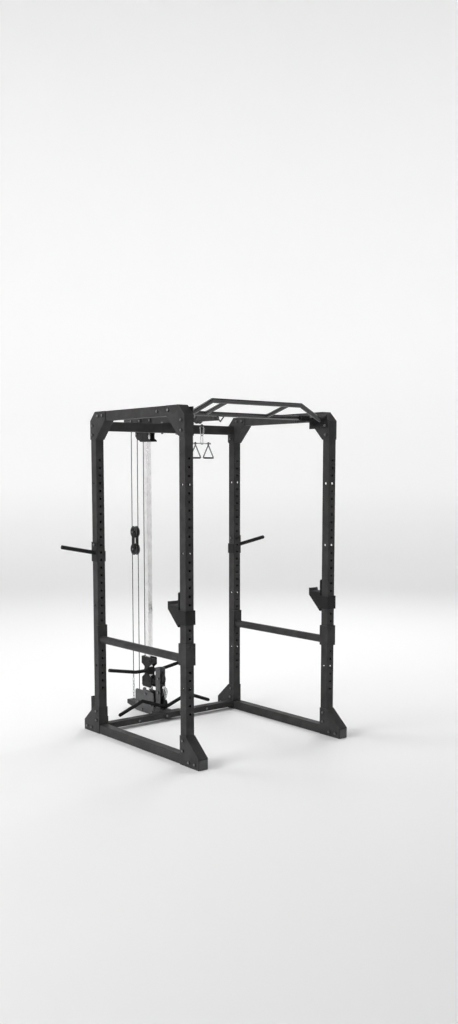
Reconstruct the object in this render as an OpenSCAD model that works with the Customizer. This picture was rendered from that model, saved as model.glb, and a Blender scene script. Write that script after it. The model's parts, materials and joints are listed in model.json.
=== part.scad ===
// Power cage with a plate-loaded high and low pulley tower.
// Millimetres, +Z up. The origin is on the floor, under the middle of the whole object.
// +X is the right-hand side seen from the front, +Y runs to the pulley tower at the back.

/* [Cage frame] */
// Distance between upright centres, side to side
cage_w = 1150; // [1000:10:1300]
// Distance between upright centres, front to back
cage_d = 970; // [900:10:1100]
// Overall height of the frame
cage_h = 2117; // [2067:50:2267]
// Side of the square frame tube
tube = 60; // [58:1:64]
// Wall of the frame tube
wall = 3; // [2:0.5:4]
// Length of the two base beams
base_len = 1280; // [1250:10:1400]
// Thickness of the bent steel brackets
plate = 4; // [3:0.5:5]

/* [Upright holes] */
// Diameter of the adjustment holes
hole_d = 16; // [14:0.5:18]
// Distance from one adjustment hole to the next
hole_pitch = 50; // [50:1:50]
// Adjustment holes in each upright, front to back
hole_count = 31; // [20:1:31]
// Height of the top hole above the floor
hole_top = 1808; // [1808:1:1820]

/* [Bar supports] */
// Hole, counted from the top, that each bar hook's peg sits in
hook_hole = 18; // [4:1:18]
// Hole, counted from the top, that each safety bar's pegs sit in
safety_hole = 22; // [22:1:26]
// Outside diameter of the safety pipes
safety_d = 50; // [40:1:54]

/* [Pull-up bar] */
// Diameter of the grips
grip_d = 30; // [26:1:34]
// Height of the raised front grip's axis
grip_top_z = 2150; // [2130:1:2160]
// Distance of each cross grip from the middle
rung_x = 247; // [180:1:300]

/* [Pulley tower] */
// Distance from the cage centre back to the guide post
post_y = 750; // [740:1:760]
// Side of the square guide post
post_w = 38; // [34:1:40]
// Outside radius of the pulleys
pulley_r = 43; // [43:1:44]
// Radius of the cable
cable_r = 3; // [2:0.5:3]
// Height of the floating pulley block's middle
block_z = 1239; // [1000:1:1500]
// Diameter of the plate-loading arms
arm_d = 25; // [24:0.5:26]

/* [Hidden] */
$fn = 48;
half_tube = tube / 2;
ux = cage_w / 2;
uy = cage_d / 2;
beam_low = cage_h - tube;
corner_r = 4;
cap_t = 3;
fit = 0.6;
lat_front = -30;
lat_rear = 1012;
// Shift that puts the origin under the middle of the object
cage_y = (base_len / 2 - lat_rear) / 2;

bolt_r = 5;
bolt_clear = 5.3;
side_bolt_y = [546, 603];
foot_bolt_z = [88, 149];
corner_bolt_z = [cage_h - 148, cage_h - 89];
top_bolt_z = cage_h - 28;
front_bolt_y = -357;
rear_bolt_y = [364, 420];
bar_bolt_y = -241;
cross_bolt_x = [-290, -60, 60, 290];
horn_bolt_z = hole_top - 11 * hole_pitch;

lat_low = beam_low + 5;
lat_w = 50;
lat_wall = 4;
axle_z = lat_low + 28;
groove_r = 38;
front_wheel_y = 157;
rear_wheel_y = 919;
drop_wheel_y = 843;
drop_wheel_z = 2000;
block_half = 62;
block_y = 920;
base_wheel_z = 70;
base_bolt_z = 20;
base_rear_y = 843;
base_front_y = 684;
row_y = 608;
row_low_z = 173;
row_high_z = 272;
high_drop_y = front_wheel_y - groove_r;
high_end_z = 2060;
carriage_cable_y = drop_wheel_y - groove_r;
lug_top = 412;
anchor_y = block_y + groove_r;
anchor_z = 225;

roller_r = 20;
roller_gap = 0.15;
roller_y = post_w / 2 + roller_r + roller_gap;
roller_z = [385, 236];
cheek_in = post_w / 2 + 2;
cheek_t = 5;

safety_axis_z = 633;
safety_low = 599;
safety_high = 729;
safety_z = hole_top - safety_hole * hole_pitch;
hook_z = hole_top - hook_hole * hole_pitch;
collar_out = half_tube + fit + 5.4;
collar_in = half_tube + fit;

yoke_z = 1918;
handle_x = 53;
handle_drop = 94;
row_bar_y = 552;
row_bar_r = 12.5;
row_bar_z = 75;

FRAME = [0.20, 0.20, 0.21];
BRACKET = [0.07, 0.07, 0.07];
ZINC = [0.30, 0.30, 0.31];
STEEL = [0.80, 0.80, 0.81];
PLASTIC = [0.05, 0.05, 0.05];

// ---------- helpers ----------

// Everything is drawn about the cage centre and moved once
module at_cage() translate([0, cage_y, 0]) children();

module mirror_if(left) {
    if (left) mirror([1, 0, 0]) children();
    else children();
}

module rounded(w, d, r) {
    square([w - 2 * r, d], center = true);
    square([w, d - 2 * r], center = true);
    for (sx = [-1, 1], sy = [-1, 1])
        translate([sx * (w / 2 - r), sy * (d / 2 - r)]) circle(r, $fn = 32);
}

module tube_profile(w, d, t) {
    difference() {
        rounded(w, d, corner_r);
        rounded(w - 2 * t, d - 2 * t, corner_r - 2);
    }
}

module tube_z(w, d, t, z0, z1) translate([0, 0, z0]) linear_extrude(z1 - z0) tube_profile(w, d, t);

module tube_y(w, h, t, y0, y1)
    translate([0, y1, 0]) rotate([90, 0, 0]) linear_extrude(y1 - y0) tube_profile(w, h, t);

module tube_x(d, h, t, x0, x1)
    translate([x0, 0, 0]) rotate([90, 0, 90]) linear_extrude(x1 - x0) tube_profile(d, h, t);

module box(x, y, z) translate([x[0], y[0], z[0]]) cube([x[1] - x[0], y[1] - y[0], z[1] - z[0]]);

// Round bar from point p to point q
module rod(p, q, r) {
    v = q - p;
    len = norm(v);
    translate(p) rotate([0, acos(v[2] / len), atan2(v[1], v[0])]) cylinder(r = r, h = len);
}

module ball(p, r) translate(p) sphere(r);

// Rounded joint where two round bars of radius r meet
module knuckle(p, r) ball(p, r + 0.1);

// A hole or pin along X, Y or Z, centred on p
module along_x(p, r, h) translate(p) rotate([0, 90, 0]) cylinder(r = r, h = h, center = true);
module along_y(p, r, h) translate(p) rotate([90, 0, 0]) cylinder(r = r, h = h, center = true);
module along_z(p, r, h) translate(p) cylinder(r = r, h = h, center = true);

// Outline in the Y-Z plane, extruded across X
module slab_x(x0, x1, pts) translate([x0, 0, 0]) rotate([90, 0, 90]) linear_extrude(x1 - x0) polygon(pts);

// Torus about the X axis
module ring_x(p, big, small) translate(p) rotate([0, 90, 0]) rotate_extrude() translate([big, 0]) circle(small, $fn = 24);

// Closed oval of round wire standing along Z in the X-Z plane: width w and height h between wire centres
module oval(w, h, r) {
    for (s = [-1, 1])
        translate([s * w / 2, 0, 0]) cylinder(r = r, h = h - w, center = true, $fn = 24);
    for (s = [0, 1])
        mirror([0, 0, s]) translate([0, 0, (h - w) / 2]) rotate([90, 0, 0])
            rotate_extrude(angle = 180) translate([w / 2, 0]) circle(r, $fn = 24);
}

// Points of a cable bent round a pulley at [y, z]; angles are counted from +Y towards +Z
function bend(c, a0, a1, steps = 10) =
    [for (i = [0 : steps]) let (a = a0 + (a1 - a0) * i / steps) [c[0] + groove_r * cos(a), c[1] + groove_r * sin(a)]];

// Direction across the cable at point i of a path in the Y-Z plane
function across(path, i) =
    let (a = path[max(i - 1, 0)], b = path[min(i + 1, len(path) - 1)], d = (b - a) / norm(b - a)) [-d[1], d[0]];

// Round cable swept along a path of [y, z] points in the plane X = 0
module cable(path) {
    n = 10;
    rows = len(path);
    points = [for (i = [0 : rows - 1], j = [0 : n - 1])
        let (a = 360 * j / n, t = cable_r * cos(a), side = across(path, i))
        [cable_r * sin(a), path[i][0] + t * side[0], path[i][1] + t * side[1]]];
    sides = [for (i = [0 : rows - 2], j = [0 : n - 1])
        let (k = (j + 1) % n) [i * n + k, i * n + j, (i + 1) * n + j, (i + 1) * n + k]];
    first = [for (j = [0 : n - 1]) j];
    last = [for (j = [n - 1 : -1 : 0]) (rows - 1) * n + j];
    polyhedron(points, concat(sides, [first], [last]));
}

// ---------- fasteners ----------

// Bolt along X: head at x_head, nut seat at x_nut, both measured from the middle plane
module bolt_x(x_head, x_nut, y, z) {
    s = x_head > x_nut ? 1 : -1;
    translate([x_head, y, z]) rotate([0, s * 90, 0]) {
        cylinder(r = 10, h = 2, $fn = 32);
        translate([0, 0, 2]) cylinder(d = 18.5, h = 6.5, $fn = 6);
    }
    rod([x_nut - s * 9, y, z], [x_head + s, y, z], bolt_r);
    translate([x_nut, y, z]) rotate([0, -s * 90, 0]) cylinder(d = 18.5, h = 8, $fn = 6);
}

module bolt_z(x, y, z_head, z_nut) {
    translate([x, y, z_head]) cylinder(r = 10, h = 2, $fn = 32);
    translate([x, y, z_head + 2]) cylinder(d = 18.5, h = 6.5, $fn = 6);
    translate([x, y, z_nut - 9]) cylinder(r = bolt_r, h = z_head - z_nut + 10);
    translate([x, y, z_nut - 8]) cylinder(d = 18.5, h = 8, $fn = 6);
}

module bolt_y(x, z, y_head, y_nut) {
    translate([x, y_head, z]) rotate([90, 0, 0]) {
        cylinder(r = 10, h = 2, $fn = 32);
        translate([0, 0, 2]) cylinder(d = 18.5, h = 6.5, $fn = 6);
    }
    rod([x, y_head - 1, z], [x, y_nut + 9, z], bolt_r);
    translate([x, y_nut + 8, z]) rotate([90, 0, 0]) cylinder(d = 18.5, h = 8, $fn = 6);
}

// ---------- frame tubes ----------

module upright(x, y) {
    color(FRAME) at_cage() difference() {
        translate([x, y, 0]) tube_z(tube, tube, wall, tube, beam_low);
        for (i = [0 : hole_count - 1])
            along_y([x, y, hole_top - i * hole_pitch], hole_d / 2, tube + 2);
        for (i = [3 : 8 : hole_count - 1])
            along_x([x, y, hole_top - i * hole_pitch], hole_d / 2, tube + 2);
        for (z = concat(foot_bolt_z, corner_bolt_z))
            along_x([x, y, z], bolt_clear, tube + 2);
    }
}

module upright_front_left() upright(-ux, -uy);
module upright_front_right() upright(ux, -uy);
module upright_rear_left() upright(-ux, uy);
module upright_rear_right() upright(ux, uy);

module base_beam(x) {
    color(FRAME) at_cage() difference() {
        translate([x, 0, half_tube]) tube_y(tube, tube, wall, -base_len / 2, base_len / 2);
        for (sy = [-1, 1], y = side_bolt_y)
            along_x([x, sy * y, half_tube], bolt_clear, tube + 2);
    }
}

module base_beam_left() base_beam(-ux);
module base_beam_right() base_beam(ux);

// Cross beams run between the brackets' inner plates
cross_half = ux - half_tube - plate;
flange_t = 5;
base_cross_h = 40;

module base_cross_beam() {
    color(FRAME) at_cage() difference() {
        union() {
            translate([0, uy, tube - base_cross_h / 2])
                tube_x(tube, base_cross_h, wall, -cross_half + 1, cross_half - 1);
            for (s = [-1, 1])
                box([s * cross_half - (s > 0 ? flange_t : 0), s * cross_half + (s > 0 ? 0 : flange_t)],
                    [uy - half_tube, uy + half_tube], [tube - base_cross_h, tube + 50]);
        }
        along_x([0, uy, foot_bolt_z[0]], bolt_clear, 2 * cross_half + 2);
        for (x = cross_bolt_x)
            along_y([x, uy, tube - base_cross_h / 2], bolt_clear, tube + 2);
    }
}

module top_beam(x) {
    cut = 64.3;
    color(FRAME) at_cage() difference() {
        translate([x, 0, cage_h - half_tube])
            tube_y(tube, tube, wall, -uy - half_tube, uy + half_tube);
        for (s = [-1, 1])
            translate([x, s * (uy + half_tube), cage_h]) rotate([s * 45, 0, 0])
                cube([tube + 2, 3 * tube, cut * sqrt(2)], center = true);
        for (y = concat([front_bolt_y, bar_bolt_y], rear_bolt_y))
            along_x([x, y, y == bar_bolt_y ? cage_h - half_tube : top_bolt_z], bolt_clear, tube + 2);
    }
}

module top_beam_left() top_beam(-ux);
module top_beam_right() top_beam(ux);

module top_cross_beam() {
    color(FRAME) at_cage() difference() {
        union() {
            translate([0, uy, beam_low - half_tube])
                tube_x(tube, tube, wall, -cross_half + 1, cross_half - 1);
            for (s = [-1, 1])
                box([s * cross_half - (s > 0 ? flange_t : 0), s * cross_half + (s > 0 ? 0 : flange_t)],
                    [uy - half_tube, uy + half_tube], [beam_low - 112, beam_low]);
        }
        for (z = corner_bolt_z)
            along_x([0, uy, z], bolt_clear, 2 * cross_half + 2);
        for (x = [-60, 60])
            along_z([x, uy, beam_low - half_tube], bolt_clear, tube + 2);
    }
}

// ---------- brackets ----------

// Foot bracket: s is measured outward from the upright's middle, z from the floor
foot_outline = [[-31, 0], [-31, 177], [30, 177], [155, 67.75], [155, 0]];
foot_web = [[30, 177], [155, 67.75], [155, 61.75], [30, 171]];

module foot_bracket(x, sleeve) {
    difference() {
        translate([x, uy, 0]) {
            for (s = [-1, 1])
                slab_x(s > 0 ? half_tube : -half_tube - plate, s > 0 ? half_tube + plate : -half_tube,
                    foot_outline);
            slab_x(-half_tube - 1, half_tube + 1, foot_web);
        }
        for (z = foot_bolt_z) along_x([x, uy, z], bolt_clear, tube + 20);
        for (y = side_bolt_y) along_x([x, y, half_tube], bolt_clear, tube + 20);
        if (sleeve)
            translate([x, sleeve_y, 150]) cube([sleeve_w + fit, sleeve_w + fit, 178], center = true);
    }
}

module foot_brackets_front()
    color(BRACKET) at_cage() for (s = [-1, 1]) mirror([0, 1, 0]) foot_bracket(s * ux, false);

module foot_brackets_rear()
    color(BRACKET) at_cage() for (s = [-1, 1]) foot_bracket(s * ux, s < 0);

// Corner bracket: u is measured inward from the upright's outer face, v down from the top
corner_outline = [[58, 0], [0, 58], [0, 178], [62, 178], [180, 57], [182, 0]];
corner_outer_web = [[58, 0], [0, 58], [0, 60], [4, 60], [64, 0]];
corner_inner_web = [[62, 178], [177, 60], [171, 60], [60, 174], [60, 178]];

function corner_pts(pts) = [for (p = pts) [half_tube - p[0], cage_h - p[1]]];

module corner_bracket(x, bolts) {
    difference() {
        translate([x, uy, 0]) {
            for (s = [-1, 1])
                slab_x(s > 0 ? half_tube : -half_tube - plate, s > 0 ? half_tube + plate : -half_tube,
                    corner_pts(corner_outline));
            slab_x(-half_tube - 1, half_tube + 1, corner_pts(corner_outer_web));
            slab_x(-half_tube - 1, half_tube + 1, corner_pts(corner_inner_web));
        }
        for (z = corner_bolt_z) along_x([x, uy, z], bolt_clear, tube + 20);
        for (y = bolts) along_x([x, y, top_bolt_z], bolt_clear, tube + 20);
    }
}

module corner_brackets_front()
    color(BRACKET) at_cage() for (s = [-1, 1])
        mirror([0, 1, 0]) corner_bracket(s * ux, [-front_bolt_y]);

module corner_brackets_rear()
    color(BRACKET) at_cage() for (s = [-1, 1]) corner_bracket(s * ux, rear_bolt_y);

module end_caps() {
    plug = tube - 2 * wall - 0.4;
    color([0.35, 0.35, 0.36]) at_cage() {
        for (sx = [-1, 1], sy = [-1, 1])
            translate([sx * ux, sy * base_len / 2, half_tube]) rotate([sy * 90, 0, 0]) {
                translate([0, 0, -cap_t]) linear_extrude(cap_t) rounded(tube, tube, corner_r);
                translate([0, 0, -cap_t]) linear_extrude(cap_t + 18) rounded(plug, plug, corner_r - 2);
            }
        for (y = [lat_front - cap_t, lat_rear])
            translate([0, y + cap_t, lat_low + lat_w / 2]) rotate([90, 0, 0])
                linear_extrude(cap_t) rounded(lat_w, lat_w, corner_r);
    }
}

// ---------- storage ----------

// Bracket and horn for spare plates, drawn for the right-hand upright
module plate_horn() {
    ear = half_tube + plate;
    color(BRACKET) at_cage() difference() {
        translate([ux, uy, 0]) {
            box([half_tube, ear], [-half_tube, ear], [1148, 1276]);
            box([-ear, -half_tube], [-half_tube, ear], [1148, 1216]);
            box([-ear, ear], [half_tube, ear], [1148, 1216]);
            rod([ear, 0, horn_root_z], [horn_tip_x - ux, 0, horn_tip_z], horn_r);
            rod([ear - 0.5, 0, horn_root_z - 0.5 * horn_slope], [ear + 6, 0, horn_root_z + 6 * horn_slope], horn_r + 3);
        }
        along_x([ux, uy, horn_bolt_z], bolt_clear, tube + 20);
    }
}

horn_r = 13;
horn_root_z = 1207;
horn_tip_x = 850;
horn_tip_z = 1253;
horn_slope = (horn_tip_z - horn_root_z) / (horn_tip_x - ux - half_tube - plate);

module plate_horn_left() mirror_if(true) plate_horn();
module plate_horn_right() plate_horn();

// Upright square sleeve that stores a bar on end
sleeve_y = 544;
sleeve_w = 50;

module bar_sleeve() {
    color(BRACKET) at_cage() translate([-ux, sleeve_y, 0]) tube_z(sleeve_w, sleeve_w, 2.5, tube, 235);
}

// ---------- pull-up bar ----------

grip_y = -450;
grip_bend_x = 355;
grip_end_z = 2063;
rear_grip_z = cage_h - half_tube;

module pull_up_front_bar() {
    r = grip_d / 2;
    end_x = cross_half - r - 0.5;
    color(BRACKET) at_cage() difference() {
        union() {
            rod([-grip_bend_x, grip_y, grip_top_z], [grip_bend_x, grip_y, grip_top_z], r);
            for (s = [-1, 1]) {
                knuckle([s * grip_bend_x, grip_y, grip_top_z], r);
                rod([s * grip_bend_x, grip_y, grip_top_z], [s * end_x, grip_y, grip_end_z], r);
                knuckle([s * end_x, grip_y, grip_end_z], r);
                box([s > 0 ? cross_half - flange_t : -cross_half, s > 0 ? cross_half : flange_t - cross_half],
                    [-506, -336], [2010, 2106]);
            }
        }
        along_x([0, -uy, corner_bolt_z[1]], bolt_clear, 2 * cross_half + 2);
        along_x([0, front_bolt_y, top_bolt_z], bolt_clear, 2 * cross_half + 2);
    }
}

module pull_up_rear_bar() {
    r = grip_d / 2;
    face = ux - half_tube;
    color(BRACKET) at_cage() difference() {
        union() {
            rod([-face, bar_bolt_y, rear_grip_z], [face, bar_bolt_y, rear_grip_z], r);
            for (s = [-1, 1]) {
                box([s > 0 ? face - 6 : -face, s > 0 ? face : 6 - face], [-330, -190], [2060, 2114]);
                rod([s * rung_x, bar_bolt_y, rear_grip_z],
                    [s * rung_x, grip_y + 10, grip_top_z - 5], r - 2);
            }
            rod([-158, bar_bolt_y, rear_grip_z - r + 2], [-130, bar_bolt_y, rear_grip_z - 45], 4);
            rod([-102, bar_bolt_y, rear_grip_z - r + 2], [-130, bar_bolt_y, rear_grip_z - 45], 4);
            ball([-130, bar_bolt_y, rear_grip_z - 45], 4);
        }
        rod([-face + 6, bar_bolt_y, rear_grip_z], [face - 6, bar_bolt_y, rear_grip_z], r - 3);
        along_x([0, bar_bolt_y, rear_grip_z], bolt_clear, 2 * face + 2);
        rod([-grip_bend_x - 20, grip_y, grip_top_z], [grip_bend_x + 20, grip_y, grip_top_z], r);
    }
}

// ---------- pulley tower frame ----------

module lat_beam() {
    half = lat_w / 2;
    color(FRAME) at_cage() difference() {
        union() {
            box([-half, half], [lat_front, lat_rear], [lat_low, lat_low + lat_w]);
            box([-80, 80], [uy - half_tube, uy + half_tube], [beam_low, lat_low]);
        }
        box([lat_wall - half, half - lat_wall], [lat_front - 1, lat_rear + 1],
            [lat_low + lat_wall, lat_low + lat_w + 1]);
        for (y = [front_wheel_y, rear_wheel_y])
            box([-15, 15], [y - 47, y + 47], [lat_low - 1, lat_low + lat_wall + 1]);
        for (y = [front_wheel_y, rear_wheel_y, carriage_cable_y, 680])
            along_x([0, y, axle_z], bolt_clear, lat_w + 2);
        for (x = [-60, 60]) along_z([x, uy, beam_low], bolt_clear, 40);
    }
}

base_back = uy + half_tube;
tower_rear = 1000;
base_side = [[base_back + 5, 0], [base_back + 5, tube], [tower_rear, tube], [tower_rear, 30], [869, 0]];
base_hollow = [[base_back + 6, wall], [base_back + 6, tube - wall], [tower_rear - wall, tube - wall],
    [tower_rear - wall, 33], [868, wall]];

module tower_base_beam() {
    color(FRAME) at_cage() difference() {
        union() {
            slab_x(-half_tube, half_tube, base_side);
            box([-90, 90], [base_back, base_back + 6], [tube - base_cross_h, tube]);
        }
        slab_x(wall - half_tube, half_tube - wall, base_hollow);
        box([-14, 14], [base_rear_y - 47, base_rear_y + 47], [tube - wall - 1, tube + 1]);
        box([-14, 14], [base_front_y - 45, base_front_y + 45], [tube - wall - 1, tube + 1]);
        for (y = [670, 798]) along_x([0, y, base_bolt_z], bolt_clear, tube + 2);
        for (x = [-60, 60]) along_y([x, base_back, tube - base_cross_h / 2], bolt_clear, 30);
    }
}

module guide_post() {
    color(STEEL) at_cage() translate([0, post_y, 0]) difference() {
        tube_z(post_w, post_w, 2.5, tube, lat_low);
        along_x([0, 0, 140], bolt_clear, post_w + 2);
    }
}

// Two waisted side plates that tie the guide post to the overhead beam
module post_gusset() {
    w = lat_w / 2 + plate;
    low = 1944;
    top = lat_low - 0.5;
    cheek = [[666, 2108], [784, 2108], [784, low], [676, low], [676, low + 7], [704, 1966], [706, 1984],
        [693, top - 12], [666, top - 12]];
    color(BRACKET) at_cage() difference() {
        union() {
            for (s = [-1, 1])
                slab_x(s > 0 ? lat_w / 2 : -w, s > 0 ? w : -lat_w / 2, cheek);
            box([-w, w], [700, post_y - post_w / 2], [low, low + 6]);
        }
        along_x([0, 680, axle_z], bolt_clear, 2 * w + 2);
    }
}

// Two side plates under the overhead beam that carry the drop pulley
module pulley_hanger() {
    w = lat_w / 2 + plate;
    tail = [[790, 2108], [822, 2108], [862, 2014], [862, 1984], [844, 1976], [800, 1944], [786, 1944]];
    color(BRACKET) at_cage() difference() {
        union() {
            for (s = [-1, 1])
                slab_x(s > 0 ? lat_w / 2 : -w, s > 0 ? w : -lat_w / 2, tail);
            box([-w, w], [786, 796], [1944, 1950]);
            box([1 - w + plate, w - plate - 1], [post_y + post_w / 2, 787], [1944, 1950]);
        }
        along_x([0, carriage_cable_y, axle_z], bolt_clear, 2 * w + 2);
        along_x([0, drop_wheel_y, drop_wheel_z], bolt_clear, 2 * w + 2);
    }
}

// Two rounded side plates on the tower's base beam
module base_pulley_bracket() {
    r = 22;
    color(FRAME) at_cage() difference() {
        for (s = [-1, 1])
            translate([s > 0 ? half_tube : -half_tube - plate, 0, 0]) rotate([90, 0, 90]) linear_extrude(plate) {
                translate([652, 4]) square([885 - 652, 163 - r - 4]);
                translate([652 + r, 163 - r - 1]) square([885 - 652 - 2 * r, r + 1]);
                for (y = [652 + r, 885 - r]) translate([y, 163 - r]) circle(r);
            }
        for (y = [670, 798]) along_x([0, y, base_bolt_z], bolt_clear, tube + 20);
        for (y = [base_front_y, base_rear_y]) along_x([0, y, base_wheel_z], bolt_clear, tube + 20);
        along_x([0, post_y, 140], bolt_clear, tube + 20);
    }
}

// Upright channel, open to the front, that holds the two row pulleys
module row_pulley_housing() {
    color(FRAME) at_cage() difference() {
        box([-22.5, 22.5], [586, 642], [tube, 350]);
        box([-18.5, 18.5], [585, 638], [tube + 5, 351]);
        box([-15, 15], [630, 643], [120, 325]);
        for (z = [row_low_z, row_high_z]) along_x([0, row_y, z], bolt_clear, 50);
        box([-14, 14], [base_front_y - 45, 643], [tube - 1, 120]);
    }
}

// ---------- weight carriage ----------

cheek_outline = [[-58, 362], [-58, 408], [-50, 412], [50, 412], [62, 408], [62, 362], [26, 340],
    [26, 282], [58, 258], [58, 204], [46, 192], [-46, 192], [-58, 204], [-58, 258], [-26, 282], [-26, 340]];

module carriage_frame() {
    out = cheek_in + cheek_t;
    color(BRACKET) at_cage() translate([0, post_y, 0]) {
        for (s = [-1, 1])
            slab_x(s > 0 ? cheek_in : -out, s > 0 ? out : -cheek_in, cheek_outline);
        for (z = roller_z, s = [-1, 1]) {
            along_x([0, s * roller_y, z], 4, 2 * out);
            for (e = [-1, 1]) translate([e * out, s * roller_y, z]) rotate([0, e * 90, 0]) cylinder(d = 15, h = 5, $fn = 6);
        }
        box([-cheek_in - 1, cheek_in + 1], [carriage_cable_y - post_y - 4, 61], [406, lug_top]);
        box([-cheek_in - 1, cheek_in + 1], [-26, -22], [284, 338]);
        box([-cheek_in - 1, cheek_in + 1], [22, 26], [284, 338]);
    }
}

arm_z = 310;
arm_bend_x = 118;
arm_tip_x = 341;
arm_tip_z = 350;

module plate_arms() {
    root = cheek_in + cheek_t;
    color(BRACKET) at_cage() for (s = [-1, 1]) {
        rod([s * root, post_y, arm_z], [s * (root + 7), post_y, arm_z], 24);
        rod([s * (root + 1), post_y, arm_z], [s * arm_bend_x, post_y, arm_z], arm_d / 2);
        knuckle([s * arm_bend_x, post_y, arm_z], arm_d / 2);
        rod([s * arm_bend_x, post_y, arm_z], [s * arm_tip_x, post_y, arm_tip_z], arm_d / 2);
    }
}

module roller(y, z) {
    color(PLASTIC) at_cage() difference() {
        along_x([0, post_y + y, z], roller_r, 2 * cheek_in - 2);
        along_x([0, post_y + y, z], 4.05, 2 * cheek_in);
    }
}

module roller_top_front() roller(-roller_y, roller_z[0]);
module roller_top_rear() roller(roller_y, roller_z[0]);
module roller_bottom_front() roller(-roller_y, roller_z[1]);
module roller_bottom_rear() roller(roller_y, roller_z[1]);

// ---------- pulleys ----------

pulley_w = 25;
seat_r = groove_r - cable_r - 0.6;

// Grooved wheel about the X axis with a hub of the given width
module pulley(y, z, hub) {
    h = pulley_w / 2;
    profile = [[5.06, -hub / 2], [9, -hub / 2], [9, -5], [31, -5], [31, -h], [pulley_r, -h], [seat_r, -4],
        [seat_r, 4], [pulley_r, h], [31, h], [31, 5], [9, 5], [9, hub / 2], [5.06, hub / 2]];
    color(PLASTIC) at_cage() translate([0, y, z]) rotate([0, 90, 0]) difference() {
        rotate_extrude($fn = 64) polygon(profile);
        for (a = [0 : 72 : 359]) rotate([0, 0, a]) translate([20, 0, 0]) cylinder(r = 6, h = pulley_w, center = true);
    }
}

module front_pulley() pulley(front_wheel_y, axle_z, 41);
module rear_pulley() pulley(rear_wheel_y, axle_z, 41);
module drop_pulley() pulley(drop_wheel_y, drop_wheel_z, 49);
module block_upper_pulley() pulley(block_y, block_z + block_half, 29);
module block_lower_pulley() pulley(block_y, block_z - block_half, 29);
module base_rear_pulley() pulley(base_rear_y, base_wheel_z, 59);
module base_front_pulley() pulley(base_front_y, base_wheel_z, 59);
module row_lower_pulley() pulley(row_y, row_low_z, 36);
module row_upper_pulley() pulley(row_y, row_high_z, 36);

module pulley_block() {
    r = 18;
    color(BRACKET) at_cage() difference() {
        for (s = [-1, 1])
            translate([s > 0 ? 15 : -18, block_y, block_z]) rotate([90, 0, 90]) linear_extrude(3) {
                square([2 * r, 2 * block_half], center = true);
                for (e = [-1, 1]) translate([0, e * block_half]) circle(r);
            }
        for (e = [-1, 1]) along_x([0, block_y, block_z + e * block_half], bolt_clear, 60);
    }
}

// ---------- cables ----------

module high_cable_run()
    color(PLASTIC) at_cage() cable(concat(
        bend([front_wheel_y, axle_z], 180, 90, 6),
        bend([rear_wheel_y, axle_z], 90, 0, 6),
        bend([block_y, block_z + block_half], 360, 180),
        bend([drop_wheel_y, drop_wheel_z], 0, 180)
    ));

module high_cable_drop()
    color(PLASTIC) at_cage() rod([0, high_drop_y, high_end_z], [0, high_drop_y, axle_z - 0.5], cable_r);

module carriage_cable()
    color(PLASTIC) at_cage()
        rod([0, carriage_cable_y, lug_top + 0.3], [0, carriage_cable_y, drop_wheel_z - 0.5], cable_r);

row_cable_z = row_low_z + groove_r;

module low_cable() {
    color(PLASTIC) at_cage() {
        cable(concat(
            [[anchor_y, anchor_z + 6]],
            bend([block_y, block_z - block_half], 0, 180),
            bend([base_rear_y, base_wheel_z], 360, 270, 6),
            bend([base_front_y, base_wheel_z], 270, 180, 6),
            bend([row_y, row_low_z], 0, 90, 6),
            [[row_bar_y + 30, row_cable_z]]
        ));
        along_z([0, anchor_y, anchor_z + 6], 6, 12);
    }
}

module anchor_chain() {
    pitch = 22;
    color(STEEL) at_cage() translate([0, anchor_y, 0]) {
        for (i = [0 : 6])
            translate([0, 0, 77 + i * pitch]) rotate([0, 0, i % 2 == 0 ? 0 : 90]) oval(11, 26.4, 2);
        translate([0, 0, tube]) rotate([90, 0, 90])
            rotate_extrude(angle = 180) translate([8, 0]) circle(2, $fn = 24);
    }
}

// ---------- cable attachments ----------

// Stop ball, carabiner, long link and yoke under the front pulley
module handle_links() {
    color(STEEL) at_cage() translate([0, high_drop_y, 0]) {
        ball([0, 0, 2050], 10);
        translate([0, 0, 2015]) oval(26, 56, 3);
        translate([0, 0, 1953.3]) rotate([0, 0, 90]) oval(22, 85.4, 2.5);
        rod([-68, 0, yoke_z], [68, 0, yoke_z], 4);
        for (s = [-1, 1]) ball([s * 68, 0, yoke_z], 7);
    }
}

handle_half = 40;
handle_bar_z = yoke_z - handle_drop;

module handle(x) {
    color(STEEL) at_cage() translate([x, high_drop_y, 0]) {
        ring_x([0, 0, yoke_z], 7.5, 3);
        for (s = [-1, 1]) {
            rod([0, 0, yoke_z - 9], [s * handle_half, 0, handle_bar_z + 8], 4);
            rod([s * handle_half, 0, handle_bar_z + 8], [s * (handle_half + 2), 0, handle_bar_z], 4);
            ball([s * handle_half, 0, handle_bar_z + 8], 4);
            ball([s * (handle_half + 2), 0, handle_bar_z], 4);
        }
        ball([0, 0, yoke_z - 9], 4);
        rod([-handle_half - 2, 0, handle_bar_z], [handle_half + 2, 0, handle_bar_z], 3.6);
    }
}

module handle_left() handle(-handle_x);
module handle_right() handle(handle_x);

module grip(x) {
    color(PLASTIC) at_cage() difference() {
        along_x([x, high_drop_y, handle_bar_z], 6, 68);
        along_x([x, high_drop_y, handle_bar_z], 3.66, 74);
    }
}

module grip_left() grip(-handle_x);
module grip_right() grip(handle_x);

// Stop ball and eye on the row cable, carabiner, and the swivel stem of the row bar
module low_carabiner() {
    color(STEEL) at_cage() {
        ball([0, row_bar_y + 17.5, row_cable_z], 12);
        ring_x([0, row_bar_y + 2, row_cable_z], 9, 2);
        translate([0, row_bar_y, 183]) rotate([-6, 0, 0]) oval(24, 52, 3);
        ring_x([0, row_bar_y, row_bar_z + 80], 11, 3);
        rod([0, row_bar_y, row_bar_z + 25], [0, row_bar_y, row_bar_z + 71], 4);
    }
}

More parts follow.
